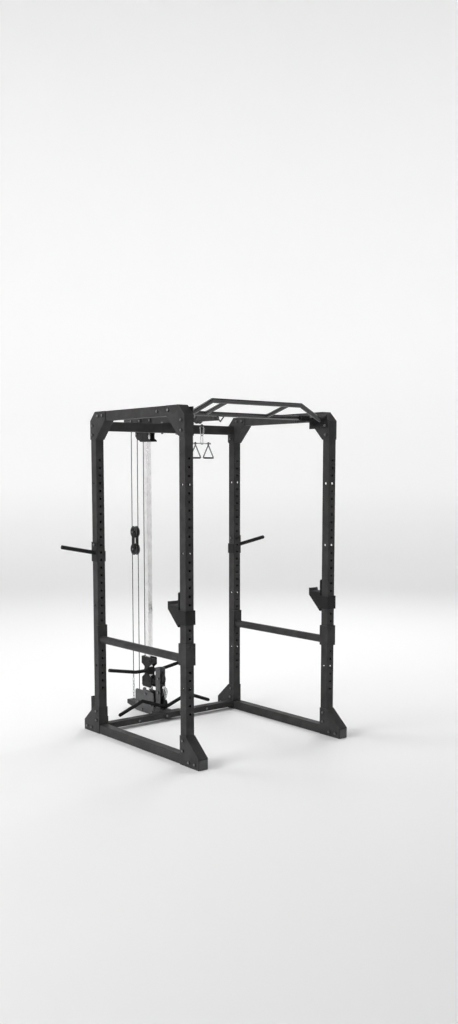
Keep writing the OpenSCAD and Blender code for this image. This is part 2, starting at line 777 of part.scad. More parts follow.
// Cambered bar that hangs on the row cable and turns on its swivel stem
module row_bar() {
    camber = 71;
    xs = [-380, -195, 0, 195, 380];
    pts = [for (i = [0 : 4]) [xs[i], row_bar_y, row_bar_z + (i % 2) * camber]];
    color(BRACKET) at_cage() difference() {
        union() {
            for (i = [0 : 3]) rod(pts[i], pts[i + 1], row_bar_r);
            for (p = pts) knuckle(p, row_bar_r);
            translate([0, row_bar_y, row_bar_z]) cylinder(r = 15, h = 30);
            translate([0, row_bar_y, row_bar_z + 30]) cylinder(r1 = 15, r2 = 9, h = 22);
        }
        translate([0, row_bar_y, row_bar_z + 22]) cylinder(r = 4.05, h = 60);
    }
}

// ---------- bar supports ----------

// Square collar round an upright, from the front face back to y1
module collar(y1, z0, z1) {
    difference() {
        box([-collar_out, collar_out], [-collar_out, y1], [z0, z1]);
        box([-collar_in, collar_in], [-collar_in, y1 - 5], [z0 - 1, z1 + 1]);
    }
}

// Peg that sits in an adjustment hole, with its round head outside the collar
module peg(z) {
    along_y([0, 4 - collar_in, z], 7, 12);
    along_y([0, -collar_out - 1, z], 9, 4);
}

// Bar hook: a collar round the front upright, a back plate and a short arm towards the cage
hook_side = [[33, 823], [40, 823], [142, 922], [142, 968], [136, 968], [131, 946], [33, 946]];
hook_web = [[34, 824], [39.6, 824], [141, 922.4], [141, 930], [137, 930], [37, 832], [34, 832]];

module j_hook(x) {
    rear = 33;
    inside = collar_in + 1;
    color(BRACKET) at_cage() translate([x, -uy, 0]) {
        collar(rear + 5, 840, 925);
        box([-inside, inside], [rear, rear + 5], [823, 1030]);
        for (s = [-1, 1])
            slab_x(s > 0 ? collar_in : -collar_out, s > 0 ? collar_out : -collar_in, hook_side);
        box([-inside, inside], [rear + 4, 132], [940, 945]);
        box([-inside, inside], [136.5, 141.5], [926, 967]);
        slab_x(-inside, inside, hook_web);
        peg(hook_z);
    }
}

module j_hook_left() j_hook(-ux);
module j_hook_right() j_hook(ux);

// Safety bar: pipe between a collar on the front upright and a channel on the rear one
module safety_bar(x) {
    rear = 31;
    color(FRAME) at_cage() translate([x, 0, 0]) {
        difference() {
            union() {
                rod([0, -uy + rear, safety_axis_z], [0, uy - collar_in - 1, safety_axis_z], safety_d / 2);
                translate([0, -uy, 0]) collar(rear + 5, safety_low, safety_high);
                translate([0, uy, 0]) difference() {
                    box([-collar_out, collar_out], [-collar_out, -5], [safety_low, safety_high]);
                    box([-collar_in, collar_in], [-collar_in, 0], [safety_low - 1, safety_high + 1]);
                }
            }
            rod([0, -uy + rear + 6, safety_axis_z], [0, uy - collar_out, safety_axis_z], safety_d / 2 - 3);
        }
        for (y = [-uy, uy]) translate([0, y, 0]) peg(safety_z);
    }
}

module safety_bar_left() safety_bar(-ux);
module safety_bar_right() safety_bar(ux);

// ---------- all fasteners ----------

module frame_bolts() {
    out = ux + half_tube + plate;
    into = ux - half_tube - plate;
    color(ZINC) at_cage() {
        for (s = [-1, 1]) {
            for (sy = [-1, 1], z = foot_bolt_z)
                bolt_x(s * out, s * (into - (sy > 0 && z == foot_bolt_z[0] ? flange_t : 0)), sy * uy, z);
            for (sy = [-1, 1], y = side_bolt_y) bolt_x(s * out, s * into, sy * y, half_tube);
            bolt_x(s * out, s * into, -uy, corner_bolt_z[0]);
            bolt_x(s * out, s * (into - flange_t), -uy, corner_bolt_z[1]);
            for (z = corner_bolt_z) bolt_x(s * out, s * (into - flange_t), uy, z);
            bolt_x(s * out, s * (into - flange_t), front_bolt_y, top_bolt_z);
            for (y = rear_bolt_y) bolt_x(s * out, s * into, y, top_bolt_z);
            bolt_x(s * (out - plate), s * (ux - half_tube - 6), bar_bolt_y, rear_grip_z);
            bolt_x(s * out, s * (into + plate), uy, horn_bolt_z);
            bolt_z(s * 60, uy, lat_low, beam_low - tube);
            bolt_y(s * 60, tube - base_cross_h / 2, uy - half_tube, base_back + 6);
            bolt_y(s * 290, tube - base_cross_h / 2, uy - half_tube, base_back);
        }
        for (y = [670, 798, post_y])
            bolt_x(-half_tube - plate, half_tube + plate, y, y == post_y ? 140 : base_bolt_z);
        for (y = [base_front_y, base_rear_y]) bolt_x(-half_tube - plate, half_tube + plate, y, base_wheel_z);
        for (z = [row_low_z, row_high_z]) bolt_x(-22.5, 22.5, row_y, z);
        for (y = [front_wheel_y, rear_wheel_y]) bolt_x(-lat_w / 2, lat_w / 2, y, axle_z);
        for (y = [carriage_cable_y, 680]) bolt_x(-lat_w / 2 - plate, lat_w / 2 + plate, y, axle_z);
        bolt_x(-lat_w / 2 - plate, lat_w / 2 + plate, drop_wheel_y, drop_wheel_z);
        for (e = [-1, 1]) bolt_x(-18, 18, block_y, block_z + e * block_half);
    }
}

// ---------- drawing ----------

upright_front_left();
upright_front_right();
upright_rear_left();
upright_rear_right();
base_beam_left();
base_beam_right();
base_cross_beam();
top_beam_left();
top_beam_right();
top_cross_beam();
foot_brackets_front();
foot_brackets_rear();
corner_brackets_front();
corner_brackets_rear();
end_caps();
frame_bolts();
pull_up_front_bar();
pull_up_rear_bar();
plate_horn_left();
plate_horn_right();
bar_sleeve();
lat_beam();
tower_base_beam();
guide_post();
post_gusset();
pulley_hanger();
base_pulley_bracket();
row_pulley_housing();
carriage_frame();
plate_arms();
roller_top_front();
roller_top_rear();
roller_bottom_front();
roller_bottom_rear();
front_pulley();
rear_pulley();
drop_pulley();
block_upper_pulley();
block_lower_pulley();
pulley_block();
base_rear_pulley();
base_front_pulley();
row_lower_pulley();
row_upper_pulley();
high_cable_run();
high_cable_drop();
carriage_cable();
low_cable();
anchor_chain();
handle_links();
handle_left();
handle_right();
grip_left();
grip_right();
low_carabiner();
row_bar();
j_hook_left();
j_hook_right();
safety_bar_left();
safety_bar_right();
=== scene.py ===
"""The looks of the power cage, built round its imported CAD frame. All lengths are in metres."""

import json
import math

import bmesh
import bpy
from mathutils import Matrix, Vector


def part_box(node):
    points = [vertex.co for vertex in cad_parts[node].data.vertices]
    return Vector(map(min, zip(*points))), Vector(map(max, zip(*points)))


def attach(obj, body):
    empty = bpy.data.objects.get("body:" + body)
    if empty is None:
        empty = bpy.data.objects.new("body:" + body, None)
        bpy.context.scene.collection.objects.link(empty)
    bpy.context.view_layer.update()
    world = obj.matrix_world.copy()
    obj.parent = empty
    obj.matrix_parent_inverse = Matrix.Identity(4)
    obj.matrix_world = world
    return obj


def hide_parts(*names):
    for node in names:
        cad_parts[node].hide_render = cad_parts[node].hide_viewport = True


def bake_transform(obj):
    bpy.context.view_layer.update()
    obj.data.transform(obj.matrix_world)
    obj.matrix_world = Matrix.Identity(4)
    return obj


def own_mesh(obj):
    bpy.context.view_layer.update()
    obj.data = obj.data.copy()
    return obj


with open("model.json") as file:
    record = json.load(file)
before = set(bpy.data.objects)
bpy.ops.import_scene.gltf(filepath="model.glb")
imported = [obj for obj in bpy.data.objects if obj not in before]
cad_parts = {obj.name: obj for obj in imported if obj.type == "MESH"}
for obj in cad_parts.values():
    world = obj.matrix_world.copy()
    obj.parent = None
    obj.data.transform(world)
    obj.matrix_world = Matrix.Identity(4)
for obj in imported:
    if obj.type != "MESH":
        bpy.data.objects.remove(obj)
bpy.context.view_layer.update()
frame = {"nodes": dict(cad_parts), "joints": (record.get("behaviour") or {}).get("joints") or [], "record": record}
nodes = frame["nodes"]
record = frame["record"]
joints = {j["name"]: j for j in frame["joints"]}

ROOT = "frame"
X, Y, Z = Vector((1, 0, 0)), Vector((0, 1, 0)), Vector((0, 0, 1))


# ---------- places taken from the frame ----------


def middle(node):
    low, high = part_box(node)
    return (low + high) / 2


def joint_at(name):
    return Vector(joints[name]["pos_m"])


CAGE_Y = (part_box("top_beam_left")[0].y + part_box("top_beam_left")[1].y) / 2


# ---------- materials ----------


def material(name):
    mat = bpy.data.materials.new(name)
    mat.use_nodes = True
    tree = mat.node_tree
    return mat, tree, tree.nodes["Principled BSDF"]


def link(tree, a, out, b, into):
    tree.links.new(a.outputs[out], b.inputs[into])


def noise(tree, scale, detail=2.0, stretch=(1, 1, 1), rough=0.5):
    coords = tree.nodes.new("ShaderNodeTexCoord")
    mapping = tree.nodes.new("ShaderNodeMapping")
    mapping.inputs["Scale"].default_value = stretch
    link(tree, coords, "Object", mapping, "Vector")
    tex = tree.nodes.new("ShaderNodeTexNoise")
    tex.inputs["Scale"].default_value = scale
    tex.inputs["Detail"].default_value = detail
    tex.inputs["Roughness"].default_value = rough
    link(tree, mapping, "Vector", tex, "Vector")
    return tex


def span(tree, source, out, low, high, to_low=0.0, to_high=1.0):
    """Maps source from low..high onto to_low..to_high."""
    node = tree.nodes.new("ShaderNodeMapRange")
    node.inputs["From Min"].default_value = low
    node.inputs["From Max"].default_value = high
    node.inputs["To Min"].default_value = to_low
    node.inputs["To Max"].default_value = to_high
    link(tree, source, out, node, "Value")
    return node


def blend_colours(tree, factor, out, low, high):
    mix = tree.nodes.new("ShaderNodeMix")
    mix.data_type = "RGBA"
    link(tree, factor, out, mix, "Factor")
    for socket, value in (("A", low), ("B", high)):
        target = next(s for s in mix.inputs if s.name == socket and s.type == "RGBA")
        if isinstance(value, bpy.types.NodeSocket):
            tree.links.new(value, target)
        else:
            target.default_value = (*value, 1)
    return next(s for s in mix.outputs if s.type == "RGBA")


def bump(tree, shader, height, out, distance, strength, under=None):
    node = tree.nodes.new("ShaderNodeBump")
    node.inputs["Distance"].default_value = distance
    node.inputs["Strength"].default_value = strength
    link(tree, height, out, node, "Height")
    if under is not None:
        tree.links.new(under, node.inputs["Normal"])
    tree.links.new(node.outputs["Normal"], shader.inputs["Normal"])


def vary_roughness(tree, shader, source, share, low, high):
    """Roughness from low to high where the noise goes through that share of its range."""
    link(tree, span(tree, source, "Fac", *share, low, high), "Result", shader, "Roughness")


def rounded(tree, radius):
    """Normals as if every sharp edge had that radius."""
    bevel = tree.nodes.new("ShaderNodeBevel")
    bevel.samples = 6
    bevel.inputs["Radius"].default_value = radius
    return bevel.outputs["Normal"]


def edge_mask(tree, normal):
    """1 along sharp edges, where the rounded normal leaves the true one, and 0 elsewhere."""
    geometry = tree.nodes.new("ShaderNodeNewGeometry")
    dot = tree.nodes.new("ShaderNodeVectorMath")
    dot.operation = "DOT_PRODUCT"
    tree.links.new(normal, dot.inputs[0])
    tree.links.new(geometry.outputs["Normal"], dot.inputs[1])
    return span(tree, dot, "Value", 0.995, 0.90)


def scaled(colour, k):
    return tuple(min(1.0, c * k) for c in colour)


def powder_coat(name, colour, rough, grain=1.0, sheen=0.4, wear_level=0.75):
    """Fine-textured powder coat: orange peel, faint mottling, rubbed corners."""
    mat, tree, shader = material(name)
    mottle = noise(tree, 14, 4)
    shade = blend_colours(tree, span(tree, mottle, "Fac", 0.35, 0.65), "Result",
                          scaled(colour, 0.82), scaled(colour, 1.18))
    speck = noise(tree, 900, 2)
    shade = blend_colours(tree, span(tree, speck, "Fac", 0.60, 0.72, 0, 0.5), "Result",
                          shade, scaled(colour, 1.7))
    normal = rounded(tree, 0.0016)
    wear = noise(tree, 70, 5, rough=0.7)
    rubbed = tree.nodes.new("ShaderNodeMath")
    rubbed.operation = "MULTIPLY"
    patches = span(tree, wear, "Fac", 0.42, 0.62, 0.15, wear_level)
    tree.links.new(edge_mask(tree, normal).outputs["Result"], rubbed.inputs[0])
    tree.links.new(patches.outputs["Result"], rubbed.inputs[1])
    shade = blend_colours(tree, rubbed, "Value", shade, scaled(colour, 3.2))
    tree.links.new(shade, shader.inputs["Base Color"])
    smudge = noise(tree, 5, 5, rough=0.6)
    vary_roughness(tree, shader, smudge, (0.3, 0.7), rough - 0.07, rough + 0.09)
    shader.inputs["Specular IOR Level"].default_value = sheen
    peel = noise(tree, 620, 3)
    bump(tree, shader, peel, "Fac", 0.00018 * grain, 0.55, normal)
    return mat


def bright_metal(name, colour, rough, brushed=(1, 1, 1)):
    """Chrome or zinc: metal with faint haze, and brush lines along one axis if asked."""
    mat, tree, shader = material(name)
    shader.inputs["Metallic"].default_value = 1.0
    cloud = noise(tree, 22, 4)
    tint = blend_colours(tree, span(tree, cloud, "Fac", 0.35, 0.65), "Result",
                         scaled(colour, 0.9), scaled(colour, 1.05))
    tree.links.new(tint, shader.inputs["Base Color"])
    haze = noise(tree, 60, 5, rough=0.7)
    vary_roughness(tree, shader, haze, (0.35, 0.7), rough, rough * 2.2 + 0.03)
    lines = noise(tree, 500, 2, brushed)
    bump(tree, shader, lines, "Fac", 0.00004, 0.35, rounded(tree, 0.0006))
    return mat


def moulded(name, colour, rough, grain=260):
    """Moulded plastic or rubber: fine matte grain with shinier rubbed spots."""
    mat, tree, shader = material(name)
    cloud = noise(tree, 30, 4)
    shade = blend_colours(tree, span(tree, cloud, "Fac", 0.3, 0.7), "Result",
                          scaled(colour, 0.8), scaled(colour, 1.25))
    dust = noise(tree, 160, 5, rough=0.75)
    shade = blend_colours(tree, span(tree, dust, "Fac", 0.58, 0.8, 0, 0.35), "Result",
                          shade, scaled(colour, 3.0))
    tree.links.new(shade, shader.inputs["Base Color"])
    vary_roughness(tree, shader, cloud, (0.3, 0.7), rough - 0.08, rough + 0.08)
    bump(tree, shader, noise(tree, grain * 3, 3), "Fac", 0.00012, 0.5, rounded(tree, 0.0008))
    return mat


def grip_grain(name, colour, rough):
    """Soft matte rubber with a fine grain."""
    mat, tree, shader = material(name)
    cloud = noise(tree, 40, 4)
    shade = blend_colours(tree, span(tree, cloud, "Fac", 0.3, 0.7), "Result",
                          scaled(colour, 0.75), scaled(colour, 1.4))
    tree.links.new(shade, shader.inputs["Base Color"])
    vary_roughness(tree, shader, cloud, (0.3, 0.7), rough - 0.08, rough + 0.06)
    bump(tree, shader, noise(tree, 1100, 3), "Fac", 0.0002, 0.6)
    return mat


def colour_of(slot):
    return tuple(next(m for m in record["materials"] if m["slot"] == slot)["base_color"])


FINISHES = {
    "charcoal_powder": (powder_coat, (0.036, 0.035, 0.035), 0.46, {"sheen": 0.14}),
    "black_powder": (powder_coat, (0.016, 0.016, 0.016), 0.44, {"sheen": 0.12}),
    "grey_powder": (powder_coat, (0.060, 0.060, 0.063), 0.46, {}),
    "gloss_black": (powder_coat, (0.008, 0.008, 0.009), 0.15,
                    {"grain": 0.25, "sheen": 0.9, "wear_level": 0.3}),
    "cap_plastic": (moulded, (0.045, 0.045, 0.047), 0.5, {}),
    "dark_zinc": (bright_metal, (0.20, 0.20, 0.205), 0.26, {}),
    "chrome_post": (bright_metal, (0.93, 0.92, 0.92), 0.10, {"brushed": (1, 1, 0.03)}),
    "chrome_links": (bright_metal, (0.50, 0.51, 0.52), 0.12, {}),
    "pulley_plastic": (moulded, colour_of("pulley_plastic"), 0.42, {}),
    "cable_coat": (moulded, colour_of("cable_coat"), 0.28, {"grain": 600}),
    "grip_rubber": (grip_grain, colour_of("grip_rubber"), 0.72, {}),
    "stop_white": (moulded, (0.78, 0.78, 0.76), 0.38, {}),
}
MATERIALS = {name: make(name, colour, rough, **more)
             for name, (make, colour, rough, more) in FINISHES.items()}

for part in record["subparts"]:
    mesh = nodes[part["node"]].data
    mesh.materials.clear()
    mesh.materials.append(MATERIALS[part["material_slot"]])


# ---------- mesh helpers ----------


def piece(name, build, slot, body=ROOT, smooth=40):
    """Makes an object from a bmesh-filling function, gives it a material and seats it on a body."""
    mesh = bpy.data.meshes.new(name)
    bm = bmesh.new()
    build(bm)
    bmesh.ops.recalc_face_normals(bm, faces=bm.faces)
    bm.to_mesh(mesh)
    bm.free()
    obj = bpy.data.objects.new(name, mesh)
    bpy.context.scene.collection.objects.link(obj)
    mesh.materials.append(MATERIALS[slot])
    mesh.shade_smooth()
    mesh.set_sharp_from_angle(angle=math.radians(smooth))
    if body:
        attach(obj, body)
    return obj


def basis(direction):
    """Two unit vectors across a direction."""
    d = direction.normalized()
    side = d.cross(Z if abs(d.z) < 0.9 else X).normalized()
    return side, d.cross(side).normalized()


def loft(bm, rings, closed=False):
    """Skins rings that have the same number of points, and caps the ends unless closed."""
    made = [[bm.verts.new(p) for p in ring] for ring in rings]
    count = len(made[0])
    pairs = list(zip(made, made[1:] + ([made[0]] if closed else [])))
    for a, b in pairs:
        for i in range(count):
            j = (i + 1) % count
            bm.faces.new((a[i], a[j], b[j], b[i]))
    if not closed:
        bm.faces.new(made[0][::-1])
        bm.faces.new(made[-1])


def ring_at(centre, direction, radius, sides, spin=0.0):
    u, v = basis(direction)
    return [centre + radius * (math.cos(a) * u + math.sin(a) * v)
            for a in (spin + 2 * math.pi * i / sides for i in range(sides))]


def tube(bm, path, radius, sides=16, closed=False):
    """Round bar along a path; radius is a number or a function of the share of the path."""
    path = [Vector(p) for p in path]
    count = len(path)
    normal = None
    rings = []
    for i, p in enumerate(path):
        a = path[i - 1] if i or closed else path[0]
        b = path[(i + 1) % count] if i < count - 1 or closed else path[-1]
        d = (b - a).normalized()
        if normal is None:
            normal = basis(d)[0]
        normal = (normal - d * normal.dot(d)).normalized()
        other = d.cross(normal)
        r = radius(i / (count - 1)) if callable(radius) else radius
        rings.append([p + r * (math.cos(t) * normal + math.sin(t) * other)
                      for t in (2 * math.pi * k / sides for k in range(sides))])
    loft(bm, rings, closed)


def lathe(bm, profile, centre, axis, sides=48):
    """Turns a closed or axis-to-axis profile of (along, radius) points round an axis."""
    closed = min(profile[0][1], profile[-1][1]) > 1e-4
    rings = []
    for along, radius in profile:
        rings.append(ring_at(centre + axis * along, axis, max(radius, 1e-5), sides))
    loft(bm, rings, closed)


def arc(centre, u, v, radius, start, end, steps=16):
    """Points on a circle in the plane of u and v; angles in degrees."""
    return [centre + radius * (math.cos(a) * u + math.sin(a) * v)
            for a in (math.radians(start + (end - start) * i / steps) for i in range(steps + 1))]


# ---------- cables ----------

GROOVE = 0.038
CABLE = 0.003


def wheel(name):
    return joint_at(name + "_spin")


def round_wheel(name, start, end, steps=24):
    """Cable points round a pulley; angles run from +Y towards +Z."""
    return arc(wheel(name), Y, Z, GROOVE, start, end, steps)


def straight(a, b, steps):
    return [a.lerp(b, i / steps) for i in range(steps + 1)]


HIGH_ROUTE = (round_wheel("front_pulley", 180, 90) + round_wheel("rear_pulley", 90, 0)
              + round_wheel("block_upper_pulley", 360, 180, 40)
              + round_wheel("drop_pulley", 0, 180, 40))
high_cable = piece("high_cable", lambda bm: tube(bm, HIGH_ROUTE, CABLE, 20), "cable_coat")
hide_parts("high_cable_run")

DROP_TOP = HIGH_ROUTE[0]
DROP_END = Vector((0, DROP_TOP.y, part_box("high_cable_drop")[0].z))
drop_cable = piece("drop_cable", lambda bm: tube(bm, straight(DROP_TOP, DROP_END, 40), CABLE, 20),
                   "cable_coat", body=None)
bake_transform(drop_cable)
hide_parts("high_cable_drop")

RISE_TOP = HIGH_ROUTE[-1]
RISE_END = Vector((0, RISE_TOP.y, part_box("carriage_cable")[0].z))
rise_cable = piece("carriage_cable_coat",
                   lambda bm: tube(bm, straight(RISE_TOP, RISE_END, 40), CABLE, 20), "cable_coat")
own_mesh(rise_cable)
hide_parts("carriage_cable")

ANCHOR = Vector((0, wheel("block_lower_pulley").y + GROOVE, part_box("anchor_chain")[1].z + 0.004))
ROW_END = Vector((0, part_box("low_cable")[0].y, wheel("row_lower_pulley").z + GROOVE))
LOW_ROUTE = ([ANCHOR] + round_wheel("block_lower_pulley", 0, 180, 40)
             + round_wheel("base_rear_pulley", 360, 270)
             + round_wheel("base_front_pulley", 270, 180)
             + round_wheel("row_lower_pulley", 0, 90) + [ROW_END])
low_cable = piece("low_cable_coat", lambda bm: tube(bm, LOW_ROUTE, CABLE, 20), "cable_coat")
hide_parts("low_cable")


def swage(bm, start, direction, length):
    """Pressed sleeve with two crimped waists."""
    r = 0.0052
    profile = [(0, CABLE), (0, r - 0.0006), (0.001, r)]
    for i in range(3):
        a = length * (i + 0.15) / 3
        b = length * (i + 0.85) / 3
        profile += [(a, r), (b, r), (b + 0.0006, r - 0.0007), (b + 0.0014, r - 0.0007)]
    profile += [(length - 0.001, r), (length, r - 0.0006), (length, CABLE)]
    lathe(bm, sorted(profile, key=lambda p: p[0]), start, direction, 24)


for name, start, direction, length, body in (
        ("drop_swage", DROP_END - Z * 0.004, Z, 0.020, "high_links"),
        ("rise_swage", RISE_END + Z * 0.012, Z, 0.026, "carriage"),
        ("anchor_swage", ANCHOR - Z * 0.002, Z, 0.028, ROOT),
        ("row_swage", ROW_END - Y * 0.002, Y, 0.022, ROOT)):
    piece(name, lambda bm, at=(start, direction, length): swage(bm, *at), "chrome_links", body)

# ---------- nuts and bolts ----------

HEAD = 0.0085       # a hexagonal head on its washer
NUT = 0.009         # a nut on its washer, with the thread's end
ACROSS = 0.0165     # across the flats
HEX_HIGH = 0.0065
SHANK_R = 0.005
WASHER_R = 0.010
WASHER_HIGH = 0.002


def hexagon(bm, start, direction, across, height):
    """Hexagonal head or nut with turned corners and a shallow dished top."""
    r = across / 2
    rise = height * 0.14
    levels = [(0, r * 0.97), (height * 0.04, r), (height - rise, r), (height, r * 0.90),
              (height, r * 0.60), (height - 0.0005, r * 0.55), (height - 0.0005, 1e-5)]
    loft(bm, [ring_at(start + direction * h, direction, k, 6, math.pi / 6) for h, k in levels])


def washer(bm, start, direction, radius, height):
    """Flat ring with softened rims."""
    lathe(bm, [(0, SHANK_R), (0, radius - 0.0004), (0.0004, radius), (height - 0.0006, radius),
               (height, radius - 0.0006), (height, SHANK_R)], start, direction, 32)


def thread(bm, start, direction, length):
    """Rolled thread drawn as fine rings."""
    radius, pitch = SHANK_R, 0.0015
    turns = int(length / pitch)
    profile = [(0, 1e-5), (0, radius - 0.0006)]
    for i in range(turns):
        profile += [((i + 0.45) * pitch, radius - 0.0001), ((i + 0.95) * pitch, radius - 0.0009)]
    profile += [(length, radius - 0.0010), (length, 1e-5)]
    lathe(bm, profile, start, direction, 20)


def lock_nut(bm, start, direction):
    """Nut with a nylon collar."""
    hexagon(bm, start, direction, ACROSS, HEX_HIGH)
    lathe(bm, [(0.0064, 0.0052), (0.0064, 0.0076), (0.0078, 0.0074), (0.0080, 0.0066),
               (0.0080, 0.0052)], start, direction, 24)


def islands(mesh):
    """Splits a mesh's vertices into its separate solids."""
    parent = list(range(len(mesh.vertices)))

    def find(i):
        while parent[i] != i:
            parent[i] = parent[parent[i]]
            i = parent[i]
        return i

    seen = {}
    for v in mesh.vertices:
        key = tuple(round(c, 6) for c in v.co)
        parent[find(v.index)] = find(seen.setdefault(key, v.index))
    for e in mesh.edges:
        parent[find(e.vertices[0])] = find(e.vertices[1])
    groups = {}
    for v in mesh.vertices:
        groups.setdefault(find(v.index), []).append(v.co.copy())
    return list(groups.values())


def bolt_place(points):
    """Seat, far end and outward direction of a plain CAD bolt, whose washer marks its head."""
    low = Vector(min(p[i] for p in points) for i in range(3))
    high = Vector(max(p[i] for p in points) for i in range(3))
    size = high - low
    axis = max(range(3), key=lambda i: size[i])
    centre = (low + high) / 2
    across = [i for i in range(3) if i != axis]
    rim = [p for p in points
           if abs(math.hypot(*(p[i] - centre[i] for i in across)) - WASHER_R) < 0.0002]
    at_high = sum(p[axis] for p in rim) / len(rim) > centre[axis]
    outward = Vector(tuple((1.0 if at_high else -1.0) if i == axis else 0.0 for i in range(3)))
    half = size[axis] / 2
    return centre + outward * (half - HEAD), centre - outward * half, outward


def bolt(bm, seat, end, outward):
    """Head, shank, lock nut and the end of the thread."""
    hexagon(bm, seat + outward * WASHER_HIGH, outward, ACROSS, HEX_HIGH)
    tube(bm, [seat, end + outward * (NUT + 0.004)], SHANK_R, 24)
    lock_nut(bm, end + outward * (NUT - 0.0008), -outward)
    thread(bm, end + outward * 0.006, -outward, 0.006)


def washers(bm, seat, end, outward):
    """One under the head and a thinner one under the nut."""
    washer(bm, seat, outward, WASHER_R, WASHER_HIGH)
    washer(bm, end + outward * (NUT + 0.0004), -outward, 0.0098, 0.0012)


BOLTS = [bolt_place(points) for points in islands(nodes["frame_bolts"].data)]


def at_each_bolt(make):
    return lambda bm: [make(bm, *place) for place in BOLTS]


bolts = piece("bolts_and_nuts", at_each_bolt(bolt), "dark_zinc", smooth=30)
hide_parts("frame_bolts")
piece("bolt_washers", at_each_bolt(washers), "black_powder", smooth=30)

# ---------- handles, carabiners and links ----------


def grip(bm, node):
    """Ribbed rubber sleeve between two flanges."""
    low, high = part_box(node)
    centre = (low + high) / 2
    half = (high.x - low.x) / 2
    bore, flange = 0.0037, (high.z - low.z) / 2
    body = flange - 0.0009
    profile = [(-half, bore), (-half, flange - 0.001), (-half + 0.001, flange),
               (-half + 0.003, flange), (-half + 0.0042, body)]
    ribs = 18
    start, stop = -half + 0.006, half - 0.006
    for i in range(ribs):
        a = start + (stop - start) * i / ribs
        step = (stop - start) / ribs
        profile += [(a + step * 0.10, body - 0.0003), (a + step * 0.30, body + 0.0005),
                    (a + step * 0.70, body + 0.0005), (a + step * 0.90, body - 0.0003)]
    profile += [(half - 0.0042, body), (half - 0.003, flange), (half - 0.001, flange),
                (half, flange - 0.001), (half, bore)]
    lathe(bm, profile, centre, X, 48)


for side in ("left", "right"):
    sleeve = piece(f"grip_sleeve_{side}", lambda bm, n=f"grip_{side}": grip(bm, n), "grip_rubber",
                   f"{side}_handle")
    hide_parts(f"grip_{side}")


def snap_hook(bm, centre, width, height, wire, lean=0.0):
    """Pear-shaped carabiner body as one closed bar; lean tips it about X."""
    turn = Matrix.Rotation(lean, 3, "X")
    big, small = width / 2, width / 2 * 0.72
    top = height / 2 - big
    foot = -height / 2 + small
    outline = [Vector((big * math.cos(t), 0, top + big * math.sin(t)))
               for t in (math.radians(a) for a in range(0, 181, 10))]
    outline += [Vector((-small * math.cos(t), 0, foot - small * math.sin(t)))
                for t in (math.radians(a) for a in range(0, 181, 10))]
    tube(bm, [centre + turn @ p for p in outline], wire, 16, closed=True)


def gate(bm, centre, width, height, wire, lean=0.0):
    """Knurled screw sleeve and hinge rivet on the carabiner's gate side."""
    turn = Matrix.Rotation(lean, 3, "X")
    start = centre + turn @ Vector((width / 2 * 0.93, 0, -height * 0.20))
    along = turn @ Vector((0.05, 0, 1)).normalized()
    length = height * 0.38
    profile = [(0, wire), (0, wire + 0.0008)]
    for i in range(9):
        a = length * (i + 0.5) / 9
        profile += [(a - length / 36, wire + 0.0017), (a + length / 36, wire + 0.0010)]
    profile += [(length, wire + 0.0008), (length, wire)]
    lathe(bm, profile, start, along, 20)
    pin = centre + turn @ Vector((width / 2 * 0.80, 0, -height * 0.34))
    lathe(bm, [(-0.0042, 1e-5), (-0.0042, 0.0016), (0.0042, 0.0016), (0.0042, 1e-5)], pin, Y, 12)


def ball(bm, centre, radius, axis=Z):
    steps = 14
    profile = [(radius * -math.cos(math.pi * i / steps), radius * math.sin(math.pi * i / steps))
               for i in range(steps + 1)]
    lathe(bm, profile, centre, axis, 28)


LINKS_LOW, LINKS_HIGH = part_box("handle_links")
STOP = Vector((0, DROP_END.y, LINKS_HIGH.z - 0.010))
piece("stop_ball", lambda bm: ball(bm, STOP, 0.010), "grip_rubber", "high_links")
HOOK_WIRE = 0.003
HOOK = STOP - Z * 0.035
HOOK_SIZE = (0.028, 0.062)
HOOK_BAR = (*HOOK_SIZE, HOOK_WIRE)
piece("high_carabiner", lambda bm: snap_hook(bm, HOOK, *HOOK_BAR), "chrome_links", "high_links")
piece("high_carabiner_gate", lambda bm: gate(bm, HOOK, *HOOK_BAR), "chrome_links", "high_links")


def long_link(bm, centre, width, height, wire):
    """Straight-sided welded link in the Y-Z plane."""
    half = height / 2 - width / 2
    path = (arc(centre + Z * half, Y, Z, width / 2, 0, 180)
            + arc(centre - Z * half, Y, Z, width / 2, 180, 360))
    tube(bm, path, wire, 16, closed=True)


YOKE_Z = joint_at("left_handle_swing").z
LINK_TOP = HOOK.z - HOOK_SIZE[1] / 2 + HOOK_WIRE + 0.0028
LINK_FOOT = YOKE_Z - 0.0068
piece("long_link", lambda bm: long_link(bm, Vector((0, STOP.y, (LINK_TOP + LINK_FOOT) / 2)), 0.022,
                                        LINK_TOP - LINK_FOOT, 0.0025), "chrome_links", "high_links")


def yoke(bm):
    """Spreader bar with a turned waist in the middle and ball ends."""
    half = (LINKS_HIGH.x - LINKS_LOW.x) / 2
    r = 0.004
    profile = [(-half, 1e-5)]
    profile += [(-half + 0.007 - 0.007 * math.cos(t), 0.007 * math.sin(t))
                for t in (math.radians(a) for a in range(15, 150, 15))]
    profile += [(-half + 0.0135, r), (-0.012, r), (-0.010, r + 0.0012), (-0.007, r + 0.0012),
                (-0.005, r - 0.0003)]
    profile += [(-a, b) for a, b in reversed(profile)]
    lathe(bm, profile, Vector((0, STOP.y, YOKE_Z)), X, 28)


spreader = piece("spreader_bar", yoke, "chrome_links", "high_links")
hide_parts("handle_links")

